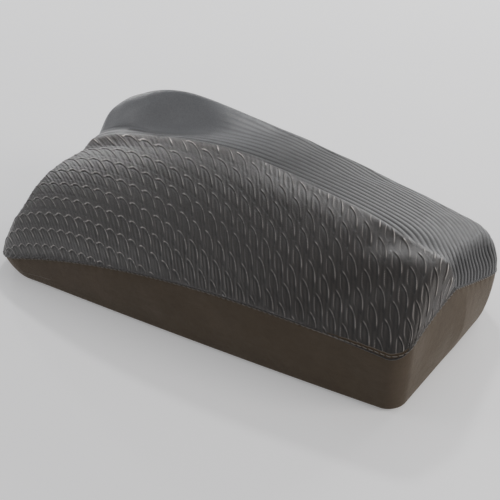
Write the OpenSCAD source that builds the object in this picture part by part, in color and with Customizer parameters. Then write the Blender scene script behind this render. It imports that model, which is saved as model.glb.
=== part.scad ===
// Contoured foam pad for a chair's armrest, in a zipped cloth cover with two holding straps.
// Millimetres. The origin is the centre of the base, on the plane that the pad stands on.
// +X runs along the pad to its high square end, +Y to the steep far side, +Z up.

/* [Plan] */
// Length of the pad along X
pad_length = 260; // [240:1:280]
// Distance from the centre line to the near edge, at the ends
near_half = 61; // [56:0.5:66]
// How far the near edge bows out at mid length
near_bow = 2.5; // [0:0.5:5]
// Distance from the centre line to the straight far edge
far_half = 63.5; // [58:0.5:68]
// How far the low end bows out
end_bow = 4.5; // [0:0.5:6]
// How much farther the low end reaches at its far side
end_skew = 5; // [0:0.5:7]
// Corner radius at the near side of the low end
low_near_radius = 22; // [14:1:28]
// Corner radius at the near side of the high end
high_near_radius = 9; // [6:0.5:14]
// Corner radius at the far side of the high end
high_far_radius = 26; // [14:1:30]
// Corner radius at the far side of the low end
low_far_radius = 20; // [14:1:34]

/* [Seam between panel and band] */
// Height of the near seam at four equal stations from the low end to the high end
near_seam = [7.5, 32, 39.5, 34]; // [6:0.5:40]
// Height of the far seam along the straight part
far_seam = 38; // [34:0.5:42]
// How much lower the far seam is at the low end
far_seam_drop = 26; // [10:1:30]
// How much lower the far seam is at the high end
high_far_drop = 16; // [0:1:18]
// How much the seam rises across the high end
end_seam_rise = 17; // [0:0.5:20]
// Where that rise peaks, by its distance from the centre line
end_peak_y = -9.5; // [-20:0.5:0]
// How far the band leans in from seam to base
band_taper = 4.8; // [3:0.1:8]
// Extra lean at the low end
low_end_taper = 0; // [0:0.5:8]

/* [Top surface] */
// Distance of the crease from the centre line at the four stations
crease_y = [19, 9, -2.5, -14.5]; // [-16:0.5:20]
// Height of the crease at the four stations
crease_z = [39, 65, 72, 60.5]; // [38:0.5:74]
// Height of the far shoulder at the four stations
shoulder_z = [79, 76.5, 61.5, 40]; // [40:0.5:80]
// Distance of the far shoulder from the far edge
shoulder_in = 7; // [5:0.5:10]
// Height by which the near slope bulges over a straight slope
slope_bulge = 3; // [0:0.5:6]
// Extra bulge of the near slope at the low end
low_end_bulge = 8; // [0:0.5:10]
// Width over which the crease is rounded
crease_round = 5; // [3:0.5:10]
// Depth of the valley between the crease and the far lobe at the low end
valley_depth = 16; // [0:1:18]
// Half width of that valley
valley_half = 12.5; // [8:0.5:14]
// Radius that rounds the top down to the seam
edge_round = 9.5; // [7:0.5:12]
// Extra edge radius at the low end
low_edge_round = 3; // [0:0.5:12]

/* [Cloth and foam] */
// Thickness of the cover's cloth
cloth = 1.6; // [1.2:0.1:1.8]
// Thickness of the foam's inner sleeve
liner = 0.6; // [0.4:0.1:0.8]
// Clearance between the layers
layer_gap = 0.2; // [0.1:0.05:0.3]
// Thickness of the base panel
base_thick = 3.2; // [3:0.1:4]
// Diameter of the thread in the seams
thread_d = 0.9; // [0.6:0.1:1.2]

/* [Grip dots] */
// Diameter of a grip dot
dot_d = 4; // [2:0.5:6]
// Height of a grip dot
dot_h = 0.6; // [0.4:0.1:1]
// Distance between the dots
dot_pitch = 12; // [8:1:16]

/* [Zip] */
// Length of the zip's opening
zip_length = 150; // [120:5:150]
// Where the zip starts along X
zip_start = -72; // [-76:1:-66]
// Height of the zip's centre line above the base
zip_height = 18; // [16:0.5:22]
// Distance between teeth of one row
tooth_pitch = 2.5; // [2:0.1:4]
// Width of one tape
tape_w = 7; // [5:0.5:8]
// Length of the slider
slider_l = 9; // [8:0.5:11]
// Length of the pull tab
pull_l = 18; // [12:1:24]

/* [Straps] */
// Distance from the centre to each strap along X
strap_x = 62; // [50:1:80]
// Width of a strap
strap_w = 25; // [20:1:30]
// Thickness of a strap
strap_t = 0.9; // [0.7:0.1:1]
// Length of the hook patch
hook_l = 26; // [20:1:34]
// Length of the loop patch
loop_l = 40; // [30:1:50]

/* [Hidden] */

half_length = pad_length / 2;
clear = 0.1;                    // clearance between pieces that do not touch
liner_in = cloth + layer_gap;   // depth of the liner's outer face under the cover's face
core_in = liner_in + liner + layer_gap;
slope_depth = 1.15;             // a layer's depth measured straight down through the slopes
valley_at = 0.56;               // valley's place between crease (0) and far shoulder (1)

// Mesh counts of the soft shapes
arc_steps = 8;
long_steps = 15;
short_steps = 9;
top_rings = 12;
spine = 0.85;                   // length of the rings' common middle line, as a share of the pad's

// Zip, in the frame of the far wall: x along the zip, y out of the wall, z up the wall
wall_lean = atan(band_taper / (far_seam - dot_h));
wall_y = far_half - band_taper * (far_seam - zip_height) / (far_seam - dot_h);
slit_half = 3.2;                // half height of the slit that the teeth lie in
rebate_y = -0.9;                // outer face of the rebate that the tapes lie in
tape_t = 0.55;
tape_y = rebate_y - 0.05;       // outer face of the tapes
tooth_top = 0.45;               // outer face of the teeth
tooth_half_gap = 0.5;
tooth_out = 2.2;
tooth_l = 1.4;
end_margin = 3;                 // length at each end of the zip that has no teeth
stop_l = 1.5;
zip_room = 2.8;                 // depth of the room behind the tapes for the slider's inner plate
plate_t = 0.7;
plate_half = 2.95;
flange_t = 0.6;
post_half = 0.35;
post_l = 2;
lug_half = 1.2;
lug_t = 0.6;
pin_r = 0.5;
pin_y = 2.55;                   // height of the pull's pin above the wall
eye_r = 1.15;
eye_half = 1.4;
pull_bore_r = pin_r + 0.05;
pull_half = 2.6;
pull_t = 0.9;
slider_x = zip_length - slider_l / 2 - end_margin - 1;   // slider's middle when the zip is closed

// Straps
strap_z = 0.1;
strap_y0 = -44;                 // free end of the straps
strap_y1 = 49;                  // hinge line at their sewn end
channel_y0 = strap_y0 - 5;
channel_y1 = strap_y1 + 4;
channel_depth = 2.2;
channel_side = 0.6;             // room at each side of a strap
patch_t = 0.5;
anchor_l = 6;

// Heights of the layers at the base
base_z = dot_h;
base_top = base_z + base_thick;
liner_z = base_top + layer_gap;
core_z = liner_z + liner + layer_gap;

// ---------- profile functions ----------

function mix(a, b, t) = a + (b - a) * t;
function clamp01(t) = min(1, max(0, t));
function smooth(t) = let (c = clamp01(t)) c * c * (3 - 2 * c);
function station(x) = min(1, max(-1, x / half_length));

// Cubic through four values at equal stations, for s from -1 to 1
function along(q, s) =
    let (t = 1.5 * (s + 1))
    - q[0] * (t - 1) * (t - 2) * (t - 3) / 6 + q[1] * t * (t - 2) * (t - 3) / 2
    - q[2] * t * (t - 1) * (t - 3) / 2 + q[3] * t * (t - 1) * (t - 2) / 6;

// Lower of two surfaces, rounded where they cross
function soft_min(a, b, k) = let (h = clamp01(0.5 + 0.5 * (b - a) / k)) mix(b, a, h) - k * h * (1 - h);

function across(y) = min(1, max(-1, y / far_half));
function near_shift(x, y) = y < 0 ? near_bow * (1 - pow(station(x), 2)) * abs(across(y)) : 0;

// The low half of the plan is stretched along X, by an amount that depends on Y
function low_stretch(y) =
    let (v = across(y)) 1 + (end_bow * (1 - v * v) + end_skew * (1 + v) / 2) / (half_length - end_bow);

function near_edge(s) = -(near_half + near_bow * (1 - s * s));

// Radius of the plan's corner that (x, y) belongs to
function corner_radius(x, y) =
    x > 0 ? (y < 0 ? high_near_radius : high_far_radius) : (y < 0 ? low_near_radius : low_far_radius);

// Distance inward from the plan's edge
function inward(x, y) =
    let (
        r = corner_radius(x, y),
        qx = (x < 0 ? -x / low_stretch(y) - half_length + end_bow : x - half_length) + r,
        qy = abs(y + near_shift(x, y)) - (y < 0 ? near_half : far_half) + r
    )
    r - norm([max(qx, 0), max(qy, 0)]) - min(max(qx, qy), 0);

// Rise of the seam across the high end: rounded up to its peak, then straight down to the far side
function end_peak(v) =
    let (peak = end_peak_y / far_half)
    v < peak ? pow((1 + v) / (1 + peak), 0.6) : (1 - v) / (1 - peak);
function seam_z(x, y) =
    let (
        s = station(x), v = across(y), near = along(near_seam, s),
        far = far_seam - far_seam_drop * smooth((-s - 0.6) / 0.4) - high_far_drop * smooth((s - 0.7) / 0.3)
    )
    mix(near, far, smooth((v + 1) / 2)) + end_seam_rise * end_peak(v) * smooth(2 * s - 1);

// Near slope and top, meeting at the crease, before the edges are rounded
function raw_top(x, y) =
    let (
        s = station(x), y0 = near_edge(s), z0 = along(near_seam, s),
        yc = along(crease_y, s), zc = along(crease_z, s) + crease_round / 4,
        t = (y - y0) / (yc - y0), tc = clamp01(t),
        bulge = slope_bulge + low_end_bulge * smooth(-s - 0.25),
        slope = mix(z0, zc, t) + 4 * bulge * tc * (1 - tc),
        span = far_half - shoulder_in - yc,
        q = (y - yc) / span, qs = (q + sqrt(q * q + 0.01)) / 2,
        dip = valley_depth * smooth(0.08 - s) * exp(-pow((y - yc - valley_at * span) / valley_half, 2)),
        top = mix(zc, along(shoulder_z, s), qs) - dip
    )
    soft_min(slope, top, crease_round);

// Height of the pad, or of the layer that lies a depth under its face
function top_z(x, y, depth) =
    let (
        zs = seam_z(x, y), h = raw_top(x, y) - slope_depth * depth,
        r = edge_round + low_edge_round * smooth(-2 * station(x) - 0.8) * smooth((y + 30) / 60) - depth,
        t = clamp01((inward(x, y) - depth) / r)
    )
    h > zs ? mix(zs, h, sqrt(max(0, 1 - pow(1 - t, 2)))) : h;

// ---------- plan outline ----------

// Each corner: sign along X, sign along Y, radius, start angle
corners = [
    [1, -1, high_near_radius, -90], [1, 1, high_far_radius, 0],
    [-1, 1, low_far_radius, 90], [-1, -1, low_near_radius, 180],
];
side_steps = [short_steps, long_steps, short_steps, long_steps];

function half_x(sx) = sx > 0 ? half_length : half_length - end_bow;
function half_y(sy) = sy > 0 ? far_half : near_half;

// Point at an angle on corner k, with the walls moved in by lean and the face by depth
function corner_point(k, angle, lean, depth) =
    let (
        c = corners[k], r = c[2], in_x = lean + (lean > 0 && c[0] < 0 ? low_end_taper : 0),
        a = c[3] + angle
    )
    [
        c[0] * (half_x(c[0]) - in_x - r) + (r - depth) * cos(a),
        c[1] * (half_y(c[1]) - lean - r) + (r - depth) * sin(a),
    ];
function bowed(p) = [p.x < 0 ? p.x * low_stretch(p.y) : p.x, p.y - near_shift(p.x, p.y)];

function outline(lean, depth) = [
    for (k = [0:3]) each concat(
        [for (i = [0:arc_steps]) bowed(corner_point(k, 90 * i / arc_steps, lean, depth))],
        [
            for (i = [1:side_steps[k] - 1])
                bowed(mix(
                    corner_point(k, 90, lean, depth), corner_point((k + 1) % 4, 0, lean, depth),
                    i / side_steps[k]
                ))
        ]
    )
];
ring_n = len(outline(0, 0));

// ---------- rings and their faces ----------

// The rings shrink from the seam towards a short middle line, ring 0
function ring_fraction(i) = mix(0.02, 1, 1 - pow(1 - i / (top_rings - 1), 1.5));
function base_ring(depth, z) = [for (p = outline(band_taper, depth)) [p.x, p.y, z]];
// Their high ends bulge a little, so that no three points there lie in a line
function ring_bulge(p, f) =
    p.x > 0 ? 2 * (1 - f) * (1 - pow(across(p.y), 2)) * pow(p.x / half_length, 4) : 0;
function top_ring(i, depth) =
    let (f = ring_fraction(i), g = mix(spine, 1, f)) [
        for (p = outline(0, depth)) let (x = p.x * g + ring_bulge(p, f), y = p.y * f)
            [x, y, top_z(x, y, depth)]
    ];
function seam_ring(depth) = top_ring(top_rings - 1, depth);
// Top of a layer as one list, from the seam inward
function top_points(depth) = [for (i = [top_rings - 1:-1:0]) each top_ring(i, depth)];

// Two triangles for each step between ring a and ring b, given by their first indices
function strip(a, b, n) = [
    for (i = [0:n - 1], second = [0, 1]) let (j = (i + 1) % n)
        second == 0 ? [a + i, b + j, a + j] : [a + i, b + i, b + j]
];
// Closes ring a across its middle line, from the middle of the high end to that of the low end
function closing(a, n) =
    let (mid = arc_steps + (short_steps - 1) / 2 + n) [
        for (m = [0:n / 2 - 2], second = [0, 1])
            let (p = (mid - m) % n, q = (mid + 1 + m) % n, r = (mid + 2 + m) % n, s = (mid - m - 1) % n)
            second == 0 ? [a + r, a + q, a + p] : [a + r, a + p, a + s]
    ];
function flipped(faces) = [for (f = faces) [f[2], f[1], f[0]]];
function shifted(faces, by) = [for (f = faces) [f[0] + by, f[1] + by, f[2] + by]];
// Faces of top_points, looking up
top_faces = concat(
    [for (i = [0:top_rings - 2]) each strip(i * ring_n, (i + 1) * ring_n, ring_n)],
    closing((top_rings - 1) * ring_n, ring_n)
);
top_count = top_rings * ring_n;

// Closed solid of everything that lies a depth under the cover's face
module filled(depth, z) {
    points = concat(base_ring(depth, z), top_points(depth));
    floor_face = [for (i = [0:ring_n - 1]) i];
    polyhedron(points, concat([floor_face], strip(0, ring_n, ring_n), shifted(top_faces, ring_n)));
}

// Round thread along a closed ring of points
module thread_ring(path, d) {
    n = len(path);
    sides = 6;
    points = [
        for (i = [0:n - 1]) each
            let (t = path[(i + 1) % n] - path[(i + n - 1) % n], out = [t.y, -t.x, 0] / norm([t.x, t.y]))
            [for (k = [0:sides - 1]) path[i] + d / 2 * (cos(60 * k) * out + sin(60 * k) * [0, 0, 1])]
    ];
    faces = [
        for (i = [0:n - 1], k = [0:sides - 1], second = [0, 1])
            let (a = i * sides, b = (i + 1) % n * sides, m = (k + 1) % sides)
            second == 0 ? [a + k, a + m, b + m] : [a + k, b + m, b + k]
    ];
    polyhedron(points, faces);
}

// ---------- foam and cover ----------

module foam_core() {
    color("ivory") difference() {
        filled(core_in, core_z);
        zip_pocket(zip_room + core_in - liner_in);
    }
}

module foam_liner() {
    color("white") difference() {
        filled(liner_in, liner_z);
        zip_pocket(zip_room);
        difference() {
            filled(liner_in + liner, liner_z + liner);
            zip_pocket(zip_room + liner);
        }
    }
}

module top_panel() {
    points = concat(top_points(0), top_points(cloth));
    color("dimgray") polyhedron(points, concat(
        top_faces, shifted(flipped(top_faces), top_count), strip(top_count, 0, ring_n)
    ));
}

// The band's edges follow the same diagonals as the panel above it and the liner inside it
module side_band() {
    n = ring_n;
    points = concat(base_ring(0, base_z), seam_ring(0), seam_ring(cloth), base_ring(cloth, base_z));
    outer_wall = strip(0, n, n);
    seam_face = flipped(strip(2 * n, n, n));
    inner_wall = flipped(strip(3 * n, 2 * n, n));
    floor_face = strip(3 * n, 0, n);
    color("rosybrown") difference() {
        polyhedron(points, concat(outer_wall, seam_face, inner_wall, floor_face));
        zip_slit();
        zip_rebate();
    }
}

module base_panel() {
    points = concat(base_ring(cloth + clear, base_z), base_ring(cloth + clear, base_top));
    face = [for (i = [0:ring_n - 1]) i];
    roof = [for (i = [ring_n - 1:-1:0]) i + ring_n];
    color("darkslategray") difference() {
        polyhedron(points, concat([face, roof], strip(0, ring_n, ring_n)));
        for (x = [-strap_x, strap_x]) translate([x, 0, 0]) strap_channel();
    }
}

module grip_dots() {
    columns = floor((half_length - 18) / dot_pitch);
    rows = floor((near_half - 14) / dot_pitch);
    color("black") for (i = [-columns:columns], j = [-rows:rows]) {
        x = i * dot_pitch;
        beside_strap = min(abs(x - strap_x), abs(x + strap_x)) > strap_w / 2 + dot_d;
        if (beside_strap) translate([x, j * dot_pitch, 0]) cylinder(d = dot_d, h = dot_h, $fn = 24);
    }
}

module seam_thread() {
    out = thread_d / 2 + clear;
    path = [for (p = outline(0, -out)) [p.x, p.y, seam_z(p.x, p.y)]];
    color("gray") thread_ring(path, thread_d);
}

module base_seam_thread() {
    d = base_z - 2 * clear;
    color("gray") thread_ring(base_ring(cloth, base_z / 2), d);
}

// ---------- zip ----------

// Places children on the far wall, at the start of the zip
module on_far_wall() {
    translate([zip_start, wall_y, zip_height]) rotate([-wall_lean, 0, 0]) children();
}

// Box from one corner to the opposite one
module block(low, high) {
    translate(low) cube(high - low);
}

module zip_slit() {
    on_far_wall() block([0, -6, -slit_half], [zip_length, 6, slit_half]);
}

module zip_rebate() {
    edge = 0.4;
    on_far_wall() block(
        [-end_margin - edge, -6, -tape_w - edge], [zip_length + end_margin + edge, rebate_y, tape_w + edge]
    );
}

// Room behind the zip, down to a depth under the wall's face
module zip_pocket(depth) {
    grow = depth - zip_room;
    half = plate_half + 0.6 + grow;
    on_far_wall() block([-0.5 - grow, -depth, -half], [zip_length + 0.5 + grow, 6, half]);
}

// One tape, on the upper side of the zip or, for side -1, on the lower
module zip_tape(side) {
    inner = tooth_half_gap + clear;
    on_far_wall() mirror([0, 0, side < 0 ? 1 : 0])
        block([-end_margin, tape_y - tape_t, inner], [zip_length + end_margin, tape_y, tape_w]);
}

module zip_teeth(side) {
    count = floor((zip_length - 2 * end_margin - tooth_l) / tooth_pitch);
    shift = side < 0 ? tooth_pitch / 2 : 0;
    on_far_wall() mirror([0, 0, side < 0 ? 1 : 0]) for (i = [0:count - 1]) {
        x = end_margin + shift + i * tooth_pitch;
        block([x, tape_y, tooth_half_gap], [x + tooth_l, tooth_top, tooth_out]);
    }
}

module zip_tape_upper() {
    color("dimgray") zip_tape(1);
}

module zip_tape_lower() {
    color("dimgray") zip_tape(-1);
}

module zip_teeth_upper() {
    color("gray") zip_teeth(1);
}

module zip_teeth_lower() {
    color("gray") zip_teeth(-1);
}

module zip_stops() {
    color("silver") on_far_wall() {
        block([clear, tape_y, -tooth_out], [clear + stop_l, tooth_top, tooth_out]);
        for (side = [0, 1]) mirror([0, 0, side]) block(
            [zip_length - clear - stop_l, tape_y, tooth_half_gap + clear],
            [zip_length - clear, tooth_top, tooth_out]
        );
    }
}

// Slider: two plates joined by a post between the rows, flanges beside them and lugs for the pin
module zip_slider() {
    top = tooth_top + 0.15;
    back = tape_y - tape_t - 0.15;
    half = slider_l / 2;
    color("silver") on_far_wall() translate([slider_x, 0, 0]) difference() {
        union() {
            block([-half, top, -plate_half], [half, top + plate_t, plate_half]);
            block([-half, back - plate_t, -plate_half], [half, back, plate_half]);
            block([half - post_l, back - plate_t, -post_half], [half, top + plate_t, post_half]);
            for (side = [0, 1]) mirror([0, 0, side]) {
                block([-half, tape_y + 0.15, plate_half - flange_t], [half, top + plate_t, plate_half]);
                block([-lug_half, top, eye_half + clear], [lug_half, pin_y, eye_half + clear + lug_t]);
                translate([0, pin_y, eye_half + clear]) cylinder(r = lug_half, h = lug_t, $fn = 32);
            }
        }
        translate([0, pin_y, -plate_half]) cylinder(r = pin_r, h = 2 * plate_half, $fn = 32);
    }
}

module zip_pull_pin() {
    half = eye_half + clear + lug_t;
    color("silver") on_far_wall() translate([slider_x, pin_y, -half])
        cylinder(r = pin_r, h = 2 * half, $fn = 32);
}

// Pull tab: an eye on the pin, a neck and a flat tab with a round end
module zip_pull() {
    neck_l = lug_half + 1;
    tab_end = pull_l - pull_half;
    color("silver") on_far_wall() translate([slider_x, pin_y, 0]) difference() {
        union() {
            translate([0, 0, -eye_half]) cylinder(r = eye_r, h = 2 * eye_half, $fn = 32);
            block([0, -pull_t / 2, -eye_half], [neck_l, pull_t / 2, eye_half]);
            block([neck_l, -pull_t / 2, -pull_half], [tab_end, pull_t / 2, pull_half]);
            translate([tab_end, pull_t / 2, 0]) rotate([90, 0, 0])
                cylinder(r = pull_half, h = pull_t, $fn = 48);
        }
        translate([0, 0, -pull_half]) cylinder(r = pull_bore_r, h = 2 * pull_half, $fn = 32);
    }
}

// ---------- straps ----------

module strap_channel() {
    half = strap_w / 2 + channel_side;
    block([-half, channel_y0, base_z - 1], [half, channel_y1, base_z + channel_depth]);
}

// Strap with a rolled hem at its hinge line and a round free end
module strap(x) {
    color("black") translate([x, 0, strap_z]) {
        block([-strap_w / 2, strap_y0 + 4, 0], [strap_w / 2, strap_y1, strap_t]);
        for (side = [-1, 1]) translate([side * (strap_w / 2 - 4), strap_y0 + 4, 0])
            cylinder(r = 4, h = strap_t, $fn = 48);
        block([4 - strap_w / 2, strap_y0, 0], [strap_w / 2 - 4, strap_y0 + 4, strap_t]);
        translate([-strap_w / 2, strap_y1, strap_t / 2]) rotate([0, 90, 0])
            cylinder(r = strap_t / 2, h = strap_w, $fn = 32);
    }
}

module strap_hook(x) {
    color("dimgray") translate([x, strap_y0 + 4, strap_z + strap_t])
        block([1 - strap_w / 2, 0, 0], [strap_w / 2 - 1, hook_l, patch_t]);
}

module loop_patch(x) {
    z = base_z + channel_depth;
    color("gray") translate([x, strap_y0, z - patch_t])
        block([-strap_w / 2, 0, 0], [strap_w / 2, loop_l, patch_t]);
}

module front_strap() strap(strap_x);
module rear_strap() strap(-strap_x);
module front_strap_hook() strap_hook(strap_x);
module rear_strap_hook() strap_hook(-strap_x);
module front_loop_patch() loop_patch(strap_x);
module rear_loop_patch() loop_patch(-strap_x);

module strap_anchors() {
    top = base_z + channel_depth;
    color("black") for (x = [-strap_x, strap_x]) translate([x, strap_y1 - anchor_l / 2, 0])
        block([-strap_w / 2, 0, strap_z + strap_t + clear], [strap_w / 2, anchor_l, top]);
}

foam_core();
foam_liner();
top_panel();
side_band();
base_panel();
grip_dots();
seam_thread();
base_seam_thread();
zip_tape_upper();
zip_tape_lower();
zip_teeth_upper();
zip_teeth_lower();
zip_stops();
zip_slider();
zip_pull_pin();
zip_pull();
front_strap();
rear_strap();
front_strap_hook();
rear_strap_hook();
front_loop_patch();
rear_loop_patch();
strap_anchors();
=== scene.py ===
"""Chair armrest pad: the looks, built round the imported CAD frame.

The soft pieces follow the same shape functions as the CAD cover. Those functions work in millimetres,
and make_mesh() turns millimetres into metres.
"""
import math

import bmesh
import bpy
import numpy as np
from mathutils import Matrix, Vector
from mathutils.kdtree import KDTree


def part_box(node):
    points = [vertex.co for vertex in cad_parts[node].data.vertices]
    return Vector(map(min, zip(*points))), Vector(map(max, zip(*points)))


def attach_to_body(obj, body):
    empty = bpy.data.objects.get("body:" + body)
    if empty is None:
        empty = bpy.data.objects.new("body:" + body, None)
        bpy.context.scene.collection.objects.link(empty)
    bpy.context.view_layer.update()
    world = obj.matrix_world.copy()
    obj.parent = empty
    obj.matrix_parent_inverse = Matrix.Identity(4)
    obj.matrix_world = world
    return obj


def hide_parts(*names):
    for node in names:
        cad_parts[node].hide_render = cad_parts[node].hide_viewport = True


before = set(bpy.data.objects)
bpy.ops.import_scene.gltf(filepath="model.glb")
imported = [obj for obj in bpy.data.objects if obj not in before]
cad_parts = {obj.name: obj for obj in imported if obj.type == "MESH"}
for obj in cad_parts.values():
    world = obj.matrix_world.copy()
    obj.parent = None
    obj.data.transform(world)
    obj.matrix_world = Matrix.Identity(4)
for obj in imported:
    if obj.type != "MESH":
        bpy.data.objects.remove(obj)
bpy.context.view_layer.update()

MM = 0.001
UP = np.array([0, 0, 1.0])


def box_mm(node):
    """Lowest and highest corner of a CAD node, in millimetres."""
    low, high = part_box(node)
    return np.array(low) / MM, np.array(high) / MM


# ---------- driving dimensions, in millimetres ----------

panel_low, panel_high = box_mm("top_panel")

HALF_LENGTH = panel_high[0]
FAR = panel_high[1]
NEAR_BOW = 2.5
NEAR = -panel_low[1] - NEAR_BOW
END_BOW = 4.5
END_SKEW = 5
LOW_HALF = HALF_LENGTH - END_BOW
CORNERS = {"low_near": 22.0, "high_near": 9.0, "high_far": 26.0, "low_far": 20.0}

# Heights and places at four equal stations, from the low end to the high end
NEAR_SEAM = (7.5, 32, 39.5, 34)
CREASE_Y = (19, 9, -2.5, -14.5)
CREASE_Z = (39, 65, 72, 60.5)
SHOULDER_Z = (79, 76.5, 61.5, 40)

FAR_SEAM = 38.0
FAR_SEAM_DROP = 26.0
HIGH_FAR_DROP = 16.0
END_SEAM_RISE = 17.0
END_PEAK_Y = -9.5
TAPER = 4.8
SHOULDER_IN = 7.0
SLOPE_BULGE = 3.0
LOW_END_BULGE = 8.0
CREASE_ROUND = 5.0
VALLEY_DEPTH = 16.0
VALLEY_HALF = 12.5
VALLEY_AT = 0.56
EDGE_ROUND = 9.5
LOW_EDGE_ROUND = 3.0
SLOPE_DEPTH = 1.15

BASE_Z = box_mm("side_band")[0][2]
PANEL_CLOTH = 1.1
BAND_CLOTH = 0.75

# Zip, in the frame of the far wall
ZIP_START = -72.0
ZIP_LENGTH = 150.0
ZIP_HEIGHT = 18.0
SLIT_HALF = 3.2
WALL_LEAN = math.atan(TAPER / (FAR_SEAM - BASE_Z))


# ---------- the pad's shape ----------

def mix(a, b, t):
    return a + (b - a) * t


def smooth(t):
    t = np.clip(t, 0, 1)
    return t * t * (3 - 2 * t)


def station(x):
    return np.clip(x / HALF_LENGTH, -1, 1)


def along(values, s):
    """Cubic through four values at equal stations, for s from -1 to 1."""
    t = 1.5 * (s + 1)
    return (
        -values[0] * (t - 1) * (t - 2) * (t - 3) / 6
        + values[1] * t * (t - 2) * (t - 3) / 2
        - values[2] * t * (t - 1) * (t - 3) / 2
        + values[3] * t * (t - 1) * (t - 2) / 6
    )


def across(y):
    return np.clip(y / FAR, -1, 1)


def near_edge(s):
    return -(NEAR + NEAR_BOW * (1 - s * s))


def low_stretch(y):
    """How much the low half of the plan is stretched along X."""
    v = across(y)
    return 1 + (END_BOW * (1 - v * v) + END_SKEW * (1 + v) / 2) / LOW_HALF


def bowed_x(x, y):
    return np.where(x < 0, x * low_stretch(y), x)


def near_shift(x, y):
    return np.where(y < 0, NEAR_BOW * (1 - station(x) ** 2) * abs(across(y)), 0)


def inward(x, y):
    """Distance inward from the plan's edge."""
    near = np.where(x > 0, CORNERS["high_near"], CORNERS["low_near"])
    far = np.where(x > 0, CORNERS["high_far"], CORNERS["low_far"])
    r = np.where(y < 0, near, far)
    qx = np.where(x < 0, -x / low_stretch(y) - LOW_HALF, x - HALF_LENGTH) + r
    qy = abs(y + near_shift(x, y)) - np.where(y < 0, NEAR, FAR) + r
    return r - np.hypot(np.maximum(qx, 0), np.maximum(qy, 0)) - np.minimum(np.maximum(qx, qy), 0)


def end_peak(v):
    """Rise of the seam across the high end: rounded up to its peak, then straight down to the far side."""
    peak = END_PEAK_Y / FAR
    return np.where(v < peak, ((1 + v) / (1 + peak)) ** 0.6, (1 - v) / (1 - peak))


def seam_z(x, y):
    s, v = station(x), across(y)
    far = FAR_SEAM - FAR_SEAM_DROP * smooth((-s - 0.6) / 0.4) - HIGH_FAR_DROP * smooth((s - 0.7) / 0.3)
    rise = END_SEAM_RISE * end_peak(v) * smooth(2 * s - 1)
    return mix(along(NEAR_SEAM, s), far, smooth((v + 1) / 2)) + rise


def raw_top(x, y):
    """Near slope and top, meeting at the crease, before the edges are rounded."""
    s = station(x)
    y0, z0 = near_edge(s), along(NEAR_SEAM, s)
    yc, zc = along(CREASE_Y, s), along(CREASE_Z, s) + CREASE_ROUND / 4
    t = (y - y0) / (yc - y0)
    tc = np.clip(t, 0, 1)
    bulge = SLOPE_BULGE + LOW_END_BULGE * smooth(-s - 0.25)
    slope = mix(z0, zc, t) + 4 * bulge * tc * (1 - tc)
    span = FAR - SHOULDER_IN - yc
    q = (y - yc) / span
    dip = VALLEY_DEPTH * smooth(0.08 - s) * np.exp(-(((y - yc - VALLEY_AT * span) / VALLEY_HALF) ** 2))
    top = mix(zc, along(SHOULDER_Z, s), (q + np.sqrt(q * q + 0.01)) / 2) - dip
    h = np.clip(0.5 + 0.5 * (top - slope) / CREASE_ROUND, 0, 1)
    return mix(top, slope, h) - CREASE_ROUND * h * (1 - h)


def edge_radius(x, y, depth=0):
    return EDGE_ROUND + LOW_EDGE_ROUND * smooth(-2 * station(x) - 0.8) * smooth((y + 30) / 60) - depth


def rounded(x, y, from_edge, depth=0):
    """Height of a layer, where the distance from its edge is given."""
    zs, h = seam_z(x, y), raw_top(x, y) - SLOPE_DEPTH * depth
    t = np.clip(from_edge / edge_radius(x, y, depth), 0, 1)
    return np.where(h > zs, mix(zs, h, np.sqrt(np.maximum(0, 1 - (1 - t) ** 2))), h)


def top_z(x, y, depth=0):
    return rounded(x, y, inward(x, y) - depth, depth)


def lengths_along(path):
    """Length along a path to each of its points."""
    steps = np.linalg.norm(np.diff(path, axis=0), axis=1)
    return np.concatenate([[0], np.cumsum(steps)])


def read_along(values, lengths, at):
    """Rows of values, read between the points at given lengths along their path."""
    return np.stack([np.interp(at, lengths, column) for column in values.T], 1)


# ---------- the cover's grid: columns across the pad, from the near seam to the far one ----------

GRID_RATIO = 8      # cells of a fine outer grid beside one cell of its coarse inner grid


def edge_y(x, side, depth=0, lean=0):
    """Near (-1) or far (1) edge of the straight plan, before it is bowed."""
    half = np.where(x > 0, HALF_LENGTH, LOW_HALF) - depth - lean
    reach = (FAR if side > 0 else NEAR) - depth - lean
    end = ("far", "near")[side < 0]
    r = np.where(x > 0, CORNERS["high_" + end], CORNERS["low_" + end]) - depth
    dx = np.clip(abs(x) - (half - r), 0, r)
    return side * (reach - r + np.sqrt(np.maximum(r * r - dx * dx, 0)))


def column_places(step, end_steps, depth=0):
    """Places of the columns, closer together where the ends round down."""
    arc = np.linspace(0, math.pi / 2, end_steps + 1)
    low_r, high_r = EDGE_ROUND + LOW_EDGE_ROUND, EDGE_ROUND
    low = -LOW_HALF + depth + low_r * (1 - np.cos(arc))
    high = HALF_LENGTH - depth - high_r * (1 - np.cos(arc[::-1]))
    count = int((high[0] - low[-1]) / step)
    count += -(2 * end_steps + count) % GRID_RATIO
    middle = np.linspace(low[-1], high[0], count + 1)
    return np.concatenate([low[:-1], middle, high[1:]])


def cover_grid(step, end_steps, rows, depth=0):
    """Points of a layer's top as a grid, and each column's place before bowing."""
    fine = (1 - np.cos(np.linspace(0, math.pi, 1500))) / 2
    columns = column_places(step, end_steps, depth)
    points = np.zeros((len(columns), rows, 3))
    for i, place in enumerate(columns):
        y = mix(edge_y(place, -1, depth), edge_y(place, 1, depth), fine)
        x = bowed_x(place, y)
        y = y - near_shift(place, y)
        z = top_z(x, y, depth)
        path = np.stack([x, y, z], 1)
        lengths = lengths_along(path)
        points[i] = read_along(path, lengths, np.linspace(0, lengths[-1], rows))
    return points, columns


def grid_normals(points):
    n = np.cross(np.gradient(points, axis=0), np.gradient(points, axis=1))
    size = np.linalg.norm(n, axis=-1, keepdims=True)
    return n / np.maximum(size, 1e-12)


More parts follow.
